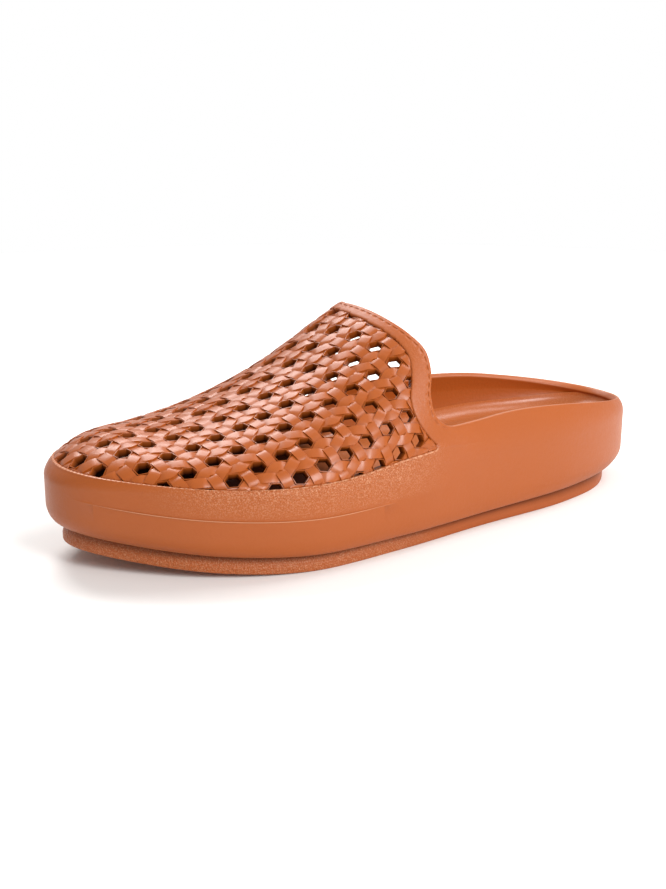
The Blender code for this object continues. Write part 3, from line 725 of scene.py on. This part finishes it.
def build_ground():
    """The wall under the strips: rings of 24 points in each cell, from its hole out to the cell's square."""
    k = np.arange(24)
    corner = np.radians(60 * ((k + 2) // 4) - 30)
    following = np.radians(60 * ((k + 2) // 4) + 30)
    share = ((k + 2) % 4) / 4
    hexagon = np.stack([np.cos(corner) * (1 - share) + np.cos(following) * share,
                        np.sin(corner) * (1 - share) + np.sin(following) * share], -1)
    square = np.stack([around(k + 6), around(k)], -1)
    apothem = HOLE_RADIUS * math.cos(math.radians(30))
    cells = np.array([(i, j) for i in COLUMNS for j in LANES])
    box = np.array([(p, q) for p in np.linspace(-0.5, 0.5, 5) for q in np.linspace(-0.5, 0.5, 5)])
    probe, _ = chart(*(cells[:, None, :] + box[None]).transpose(2, 0, 1))
    cells = cells[(weave_margin(probe) > -0.0015).any(1)]
    plan = [hexagon * (HOLE_RADIUS * (apothem + out) / apothem) / np.array([PITCH_ALONG, PITCH_ACROSS])
            for out, _, _ in RINGS]
    plan = np.array(plan + [square, square])
    height = np.array([ring[1] for ring in RINGS] + [-GROUND_DEPTH, -WEAVE_WALL])[:, None]
    # painted shade by ring: full at the bottom of the holes and on the ground's back, and weaker towards the
    # heel
    inner = np.array([ring[2] for ring in RINGS] + [0.0, 1.0])[:, None]
    at = cells[:, None, None, :] + plan[None]
    point, n = chart(at[..., 0], at[..., 1])
    points = point + n * height[None, ..., None]
    front = 0.4 + 0.6 * ease(((HALF - points[..., 0]) / LENGTH - 0.50) / 0.12)
    number = np.arange(points[..., 0].size).reshape(points.shape[:3])
    ahead = np.roll(number, -1, 2)
    faces = np.stack([number, ahead, np.roll(ahead, -1, 1), np.roll(number, -1, 1)], -1)
    # the square's side walls are there only where no cell follows
    have = {tuple(c) for c in cells.tolist()}
    sides = [(1, 0, range(-3, 3)), (0, 1, range(3, 9)), (-1, 0, range(9, 15)), (0, -1, range(15, 21))]
    rim = [faces[c, 5, m % 24] for c, (i, j) in enumerate(cells.tolist()) for di, dj, marks in sides
           if (i + di, j + dj) not in have for m in marks]
    faces = np.concatenate([faces[:, [0, 1, 2, 3, 4, 6]].reshape(-1, 4), np.array(rim)])
    # points that two cells share become one
    key = np.stack([at[..., 0], at[..., 1], np.broadcast_to(height, at.shape[:3]) * 1000], -1).reshape(-1, 3)
    _, first, same = np.unique(np.round(key, 5), axis=0, return_index=True, return_inverse=True)
    return outward(make_piece("weave_ground", points.reshape(-1, 3)[first], same.reshape(-1)[faces],
                              deep=(front * inner[None]).reshape(-1)[first]))


def strip_height(phase):
    """Over and under: level + step tanh(f cos(2 pi phase)) / tanh(f), at its top where phase is whole."""
    wave = np.cos(2 * math.pi * phase)
    return WEAVE_LEVEL + STRIP_STEP * np.tanh(STRIP_FLATNESS * wave) / math.tanh(STRIP_FLATNESS)


def zigzag(a):
    """A wave two holes long, up at a half past an even column and down at a half past an odd one."""
    return np.arcsin(0.97 * np.sin(math.pi * a)) / (math.pi / 2)


def build_strips(name, middle_lines):
    """Closed bars along lines of knots: crowned on top, square at the edges, deep in the ground below."""
    across = np.array([-1, -0.97, -0.8, -0.4, 0, 0.4, 0.8, 0.97, 1, 1, -1])
    crown = STRIP_CROWN * (1 - across**4) - np.where(np.abs(across) > 0.98, STRIP_EDGE, 0)
    points, faces, base = [], [], 0
    for a, b, phase in middle_lines:
        point, _ = chart(a, b)
        inside = np.flatnonzero(weave_margin(point) > -0.0025)
        if len(inside) < 4:
            continue
        pick = slice(inside[0], inside[-1] + 1)
        a, b, phase, point = a[pick], b[pick], phase[pick], point[pick]
        run = np.concatenate([[0], np.cumsum(np.linalg.norm(np.diff(point, axis=0), axis=1))])
        goal = np.linspace(0, run[-1], max(int(run[-1] / STRIP_POINTS), 6))
        a, b, phase = (np.interp(goal, run, q) for q in (a, b, phase))
        da, db = np.gradient(a) * PITCH_ALONG, np.gradient(b) * PITCH_ACROSS
        size = np.hypot(da, db)
        side = across[None, :] * STRIP_WIDTH / 2
        aa = a[:, None] - side * (db / size)[:, None] / PITCH_ALONG
        bb = b[:, None] + side * (da / size)[:, None] / PITCH_ACROSS
        height = strip_height(phase)[:, None] + crown[None, :]
        height[:, -2:] = -STRIP_DEPTH
        points.append(raised(aa, bb, height).reshape(-1, 3))
        rows, width = aa.shape
        r, k = np.meshgrid(np.arange(rows - 1), np.arange(width), indexing="ij")
        k2 = (k + 1) % width
        around_bar = np.stack([r * width + k, r * width + k2, (r + 1) * width + k2, (r + 1) * width + k], -1)
        faces += (base + around_bar).reshape(-1, 4).tolist()
        faces.append([base + m for m in range(width - 1, -1, -1)])
        faces.append([base + (rows - 1) * width + m for m in range(width)])
        base += rows * width
    return outward(make_piece(name, np.concatenate(points), faces))


def lengthwise(j, turn):
    """A zigzag strip through the gaps of row j: turn is 1 for the family on top at the gaps, else -1."""
    a = np.linspace(COLUMNS[0] - 1, COLUMNS[-1] + 1, 900)
    b = j + 0.5 + 0.25 * turn * zigzag(a)
    return a, b, a if turn > 0 else a + 0.5


def crosswise(i):
    """A straight strip between columns i and i + 1, on top where it meets the first zigzag family."""
    b = np.linspace(LANES[0] - 1, LANES[-1] + 1, 900)
    return np.full_like(b, i + 0.5), b, b + (0.25 if i % 2 == 0 else -0.25)


def combine(item, other, how):
    """Joins or crosses two closed bodies and keeps the first."""
    modifier = item.modifiers.new(how, "BOOLEAN")
    modifier.operation = how
    modifier.solver = "MANIFOLD"
    modifier.object = other
    mesh = bpy.data.meshes.new_from_object(item.evaluated_get(bpy.context.evaluated_depsgraph_get()))
    item.modifiers.clear()
    item.data = mesh
    bpy.data.objects.remove(other, do_unlink=True)
    return item


def window_plug():
    """Solid that fills the window in the shell, a little wider than it."""
    pick = np.flatnonzero(WOVEN)[::2]
    start = np.clip(WEAVE_START - PLUG_WIDEN, 0, 1)
    end = np.clip(WEAVE_END + PLUG_WIDEN, 0, 0.99)
    outer, inner = [], []
    for share in (0, 0.02, 0.06, 0.12, 0.2, 0.3, 0.4, 0.5, 0.6, 0.7, 0.8, 0.9, 0.96, 1):
        t = start + share * (end - start)
        n = normals(t)
        outer.append(wall(t)[pick] + n[pick] * PLUG_OUT)
        inner.append(wall(t)[pick] - n[pick] * PLUG_IN)
    width, deep = len(pick), len(outer)
    r, k = np.meshgrid(np.arange(deep - 1), np.arange(width - 1), indexing="ij")
    a = (r * width + k).reshape(-1)
    layer = width * deep
    rim = np.concatenate([np.arange(width), np.arange(1, deep) * width + width - 1,
                          (deep - 1) * width + np.arange(width - 2, -1, -1),
                          np.arange(deep - 2, 0, -1) * width])
    ahead = np.roll(rim, -1)
    faces = np.concatenate([np.stack([a, a + 1, a + width + 1, a + width], -1),
                            layer + np.stack([a + width, a + width + 1, a + 1, a], -1),
                            np.stack([ahead, rim, layer + rim, layer + ahead], -1)])
    return outward(make_piece("plug", np.concatenate(outer + inner), faces))


def build_weave():
    """The ground joined with the three families of strips and cut to the window."""
    piece = build_ground()
    for name, lines in (("crosswise", [crosswise(i) for i in COLUMNS]),
                        ("over_gaps", [lengthwise(j, 1) for j in LANES]),
                        ("under_gaps", [lengthwise(j, -1) for j in LANES])):
        piece = combine(piece, build_strips(name, lines), "UNION")
    piece = combine(piece, window_plug(), "INTERSECT")
    piece.name = piece.data.name = "upper_weave"
    piece.data.shade_smooth()
    piece.data.set_sharp_from_angle(angle=math.radians(32))
    piece.data.materials.clear()
    return piece


weave = build_weave()
# glossy: every flat strip catches its own narrow highlight, and the holes carry painted shade without gloss
weave.data.materials.append(foam("glossy_moulded_foam", FOAM_COLOUR, 0.34, 0.12, 0.02))
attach(weave, "root")
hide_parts("upper")


# The outsole: a slab of firmer foam let in under the side wall, with a flat tread that lifts at the toe.
# Its front is grained like sand, and painted shade darkens the top of its edge under the ledge of the wall
# above, most at the rear.

OUTSOLE_ROUND = 0.0005
UNDERCUT = 0.0010
REAR_SHADE = 0.45
# painted shade up the edge, one value a loop from the tread to the ledge
LEDGE_SHADE = (0, 0, 0, 0, 0, 0, 0, 0.10, 0.40, 0.60, 0.8)


def ring_faces(loops, count):
    """Faces between loops of the same count, closed across both ends by chords."""
    r, k = np.meshgrid(np.arange(loops - 1), np.arange(count), indexing="ij")
    k2 = (k + 1) % count
    faces = np.stack([r * count + k, r * count + k2, (r + 1) * count + k2, (r + 1) * count + k], -1)
    m = np.arange(count // 2 - 1)
    cap = np.stack([m, m + 1, count - 2 - m, count - 1 - m], -1)
    return np.concatenate([faces.reshape(-1, 4), cap[:, ::-1], cap + (loops - 1) * count])


def build_outsole():
    """Loops up the edge: a quarter round at the tread, then a flank that draws in under the ledge."""
    edge = OUTSOLE_INSET * curve(OUTSOLE_EDGE, S)
    loops = [beside(edge + OUTSOLE_ROUND * (1 - math.sin(w)), OUTSOLE_ROUND * (1 - math.cos(w)))
             for w in np.radians(90 * np.arange(6) / 5)]
    for share in (0.35, 0.55, 0.75, 0.9, 1):
        loops.append(beside(edge + UNDERCUT * ease((share - 0.3) / 0.6), share * OUTSOLE_HEIGHT))
    # painted shade up the edge under the ledge, with more of it at the rear; painted glints on the grained
    # front
    shade = np.array(LEDGE_SHADE)[:, None]
    rear = REAR_SHADE * np.sqrt(shade) * ease((0.60 - S) / 0.15) * (1 - shade)
    return outward(make_piece("outsole_slab", np.concatenate(loops), ring_faces(len(loops), STATIONS), 50,
                              grain=np.tile(0.6 * ease((S - 0.44) / 0.12), len(loops)),
                              deep=(shade + rear).reshape(-1)))


outsole = build_outsole()
# matte: a dull, sandy edge without a highlight, with painted glints on the grained front
outsole.data.materials.append(foam("matte_moulded_foam", "#9A4A16", 0.55, 1.0, 0.03))
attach(outsole, "root")
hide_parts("outsole")


# The footbed: a cushion of the same foam that fills the bottom of the shell. It is dished under the heel,
# runs up into the wall with a soft fillet, and is polished by its mould.

FOOTBED_HEEL = 0.0270
FOOTBED_BALL = 0.0160
FOOTBED_EDGE = 0.0020
DISH_STEP = 0.0011
DISH_LOOPS = 9
FILLET = 0.0060
FILLET_SPREAD = 1.3
FILLET_LOOPS = 14
# station; height of the footbed between FOOTBED_BALL (0) and FOOTBED_HEEL (1)
FOOTBED = (
    (0.00, 1.10),
    (0.10, 0.90),
    (0.25, 0.85),
    (0.45, 0.62),
    (0.62, 0.05),
    (0.75, -0.05),
    (1.00, 0.35),
)


def inner_inset(height):
    """Inset of the rear wall's inside at a height: thick below, thinner towards the rim."""
    base = wall_base(S)
    t = np.clip((height - base) / (RIM_HEIGHT * curve(RIM, S) - base), 0, 1)
    high = RIM_LEAN * t**2 + RIM_WALL + (SIDE_WALL - RIM_WALL) * np.clip(1 - 2 * t, 0, 1) * 0.5
    middle = (RIM_WALL + SIDE_WALL) / 2
    rise = np.clip((height - WALL_BASE * 0.72) / (base - WALL_BASE * 0.72), 0, 1)
    shallow = SIDE_WALL + (middle - SIDE_WALL) * rise
    deep = SIDE_LOW + (SIDE_WALL - SIDE_LOW) * np.clip((height / WALL_BASE - 0.42) / 0.16, 0, 1)
    return np.where(height > base, high, np.where(height > WALL_BASE * 0.58, shallow, deep))


def build_footbed():
    """Loops up the side against the wall, over the fillet and down into the dish."""
    floor = OUTSOLE_HEIGHT + GAP
    top = FOOTBED_BALL + (FOOTBED_HEEL - FOOTBED_BALL) * curve(FOOTBED, S)
    rise = FILLET * ease((0.62 - S) / 0.15)
    low = (WALL_BASE * 0.42 + top + rise) / 2
    loops = [
        beside(FOOT_WIDTH + GAP, floor),
        beside(FOOT_WIDTH + GAP, floor + FOOT_RISE),
        beside(SIDE_LOW + GAP, WALL_BASE * 0.42),
        beside(inner_inset(low) + GAP, low),
    ]
    against = inner_inset(top + rise) + GAP / 2
    for angle in np.radians(90 * np.arange(FILLET_LOOPS) / (FILLET_LOOPS - 1)):
        height = top + rise * (1 - math.sin(angle))
        inset = against + FILLET_SPREAD * FILLET * (1 - math.cos(angle))
        loops.append(beside(np.maximum(inset, inner_inset(height) + GAP / 2), height))
    last = against + FILLET_SPREAD * FILLET
    for k in range(1, DISH_LOOPS + 1):
        loops.append(beside(last + DISH_STEP * k, top - FOOTBED_EDGE * ease(k / DISH_LOOPS)))
    points = np.concatenate(loops)
    # painted shade over the footbed's front half, under the vamp, and faint painted glints from its grain
    return outward(make_piece("footbed", points, ring_faces(len(loops), STATIONS), 60,
                              grain=np.full(len(points), 0.3),
                              deep=np.tile(ease((S - 0.50) / 0.06), len(loops))))


footbed = build_footbed()
# smooth: a long, pale highlight lies along the dish
footbed.data.materials.append(foam("smooth_moulded_foam", "#A95A28", 0.33, 0.2, 0.02))
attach(footbed, "root")
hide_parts("insole")


# The photographer's table: a round of white paper in a white room, with one soft box near the camera, a
# larger one behind the mule and a small one at its heel.

FLOOR_RADIUS = 0.9
ROOM_LIGHT = 0.38
ROOM_SHEEN = 0.7
CAMERA_TURN = -31.5
CAMERA_RISE = 16.44
CAMERA_DISTANCE = 0.516
CAMERA_TARGET = (-0.01722, 0.0, 0.03248)
FOCAL_PIXELS = 1233.35
IMAGE_HEIGHT = 889
SENSOR = 36


def build_floor():
    """Flat disc of matt paper, which shows only the mule's shadow."""
    angle = np.radians(np.arange(0, 360, 5))
    edge = np.column_stack([np.cos(angle), np.sin(angle), np.zeros(len(angle))]) * FLOOR_RADIUS
    plane = make_piece("table", edge, [list(range(len(angle)))])
    paper = bpy.data.materials.new("matt_white_paper")
    paper.use_nodes = True
    shader = paper.node_tree.nodes["Principled BSDF"]
    shader.inputs["Base Color"].default_value = linear("#F4F3F1")
    shader.inputs["Roughness"].default_value = 0.9
    plane.data.materials.append(paper)


def build_light(name, place, size, watts):
    """Square soft box at a place, turned towards the mule."""
    lamp = bpy.data.lights.new(name, "AREA")
    lamp.size = size
    lamp.energy = watts
    item = bpy.data.objects.new(name, lamp)
    bpy.context.collection.objects.link(item)
    item.location = place
    item.rotation_mode = "QUATERNION"
    item.rotation_quaternion = item.location.to_track_quat("Z", "Y")


def build_room():
    """White all round: brightest to the camera, less in the foam's gloss, and dim as a light."""
    world = bpy.data.worlds.new("white room")
    world.use_nodes = True
    tree = world.node_tree
    seen = add_node(tree, "ShaderNodeLightPath")
    mirrored = add_node(tree, "ShaderNodeMath", {0: seen.outputs["Is Glossy Ray"]}, operation="MULTIPLY")
    mirrored.inputs[1].default_value = ROOM_SHEEN
    either = add_node(tree, "ShaderNodeMath", {0: seen.outputs["Is Camera Ray"], 1: mirrored.outputs[0]},
                      operation="MAXIMUM")
    room = add_node(tree, "ShaderNodeMapRange", {"Value": either.outputs[0]}, To_Min=ROOM_LIGHT, To_Max=1.0)
    tree.nodes["Background"].inputs["Color"].default_value = (1, 1, 1, 1)
    tree.links.new(room.outputs["Result"], tree.nodes["Background"].inputs["Strength"])
    bpy.context.scene.world = world


def build_camera():
    """Camera at the photo's angle and distance, turned towards its target."""
    camera = bpy.data.objects.new("camera", bpy.data.cameras.new("camera"))
    bpy.context.collection.objects.link(camera)
    turn, rise = math.radians(CAMERA_TURN), math.radians(CAMERA_RISE)
    back = np.array([math.sin(turn) * math.cos(rise), -math.cos(turn) * math.cos(rise), math.sin(rise)])
    camera.location = np.array(CAMERA_TARGET) + CAMERA_DISTANCE * back
    camera.rotation_mode = "QUATERNION"
    camera.rotation_quaternion = (camera.location - Vector(CAMERA_TARGET)).to_track_quat("Z", "Y")
    camera.data.lens = SENSOR * FOCAL_PIXELS / IMAGE_HEIGHT
    camera.data.clip_start = 0.01
    bpy.context.scene.camera = camera


build_floor()
build_light("key", (0.20, -1.25, 0.80), 0.6, 21)
build_light("back", (0.05, 0.80, 1.15), 0.7, 16)
build_light("side", (0.75, -0.10, 0.95), 0.5, 6)
build_room()
build_camera()
bpy.context.scene.view_settings.view_transform = "Standard"
